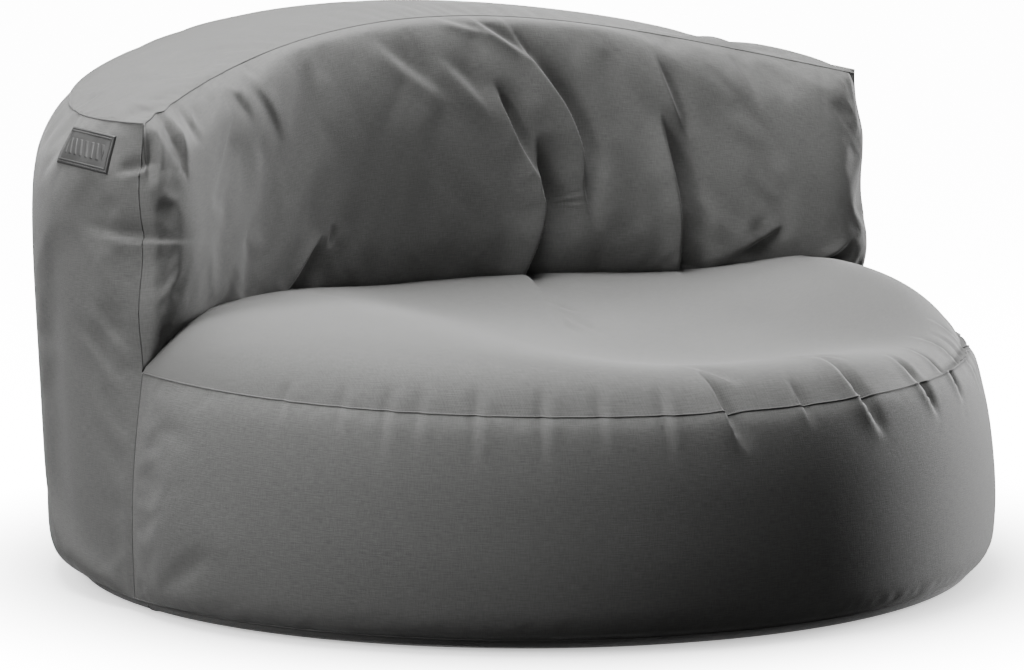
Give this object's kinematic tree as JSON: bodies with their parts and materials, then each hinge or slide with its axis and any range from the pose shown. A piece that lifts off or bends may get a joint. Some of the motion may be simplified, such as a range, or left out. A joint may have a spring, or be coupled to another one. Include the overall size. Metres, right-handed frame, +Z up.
{
  "type": "bean bag chair",
  "caption": "Round bean bag lounge chair: a sewn cloth cover over bead-filled seat and wrap-round backrest, with a zip under the base.",
  "frame": {"origin": "on the floor, under the middle of the round base", "axes": "+Z up, -Y towards the front where the sitter's legs are, +X to the right of someone facing the chair"},
  "size_m": [1.2062, 1.1939, 0.6745],
  "materials": {
    "cover_cloth": "dark grey woven polyester canvas, matt",
    "seam_cloth": "the cover's cloth rolled into a plain sewn seam",
    "zip_tape": "black woven tape",
    "zip_coil": "black nylon coil",
    "zip_metal": "black painted zinc",
    "badge_rubber": "moulded soft rubber, satin, with a plain raised pattern",
    "liner_cloth": "thin white non-woven cloth",
    "bead_fill": "loose expanded polystyrene beads, white"
  },
  "bodies": {
    "root": {"base_front": "cover_cloth", "base_rear": "cover_cloth", "front_wall": "cover_cloth", "rear_wall": "cover_cloth", "seat_top": "cover_cloth", "back_face": "cover_cloth", "back_top": "cover_cloth", "seam_base": "seam_cloth", "seam_base_cross": "seam_cloth", "seam_seat": "seam_cloth", "seam_crease": "seam_cloth", "seam_back_face": "seam_cloth", "seam_back_rear": "seam_cloth", "seam_tip_left": "seam_cloth", "seam_tip_right": "seam_cloth", "zip_tape_front": "zip_tape", "zip_tape_rear": "zip_tape", "zip_coil_front": "zip_coil", "zip_coil_rear": "zip_coil", "zip_stop_start": "zip_metal", "zip_stop_end": "zip_metal", "badge": "badge_rubber", "seat_liner": "liner_cloth", "back_liner": "liner_cloth", "seat_beads": "bead_fill", "back_beads": "bead_fill"},
    "slider": {"zip_slider": "zip_metal", "zip_bail": "zip_metal"}
  },
  "joints": [
    {"name": "zip_slide", "type": "slide", "parent": "root", "child": "slider", "axis": [-1, 0, 0], "range_m": [0, 0.674]}
  ]
}
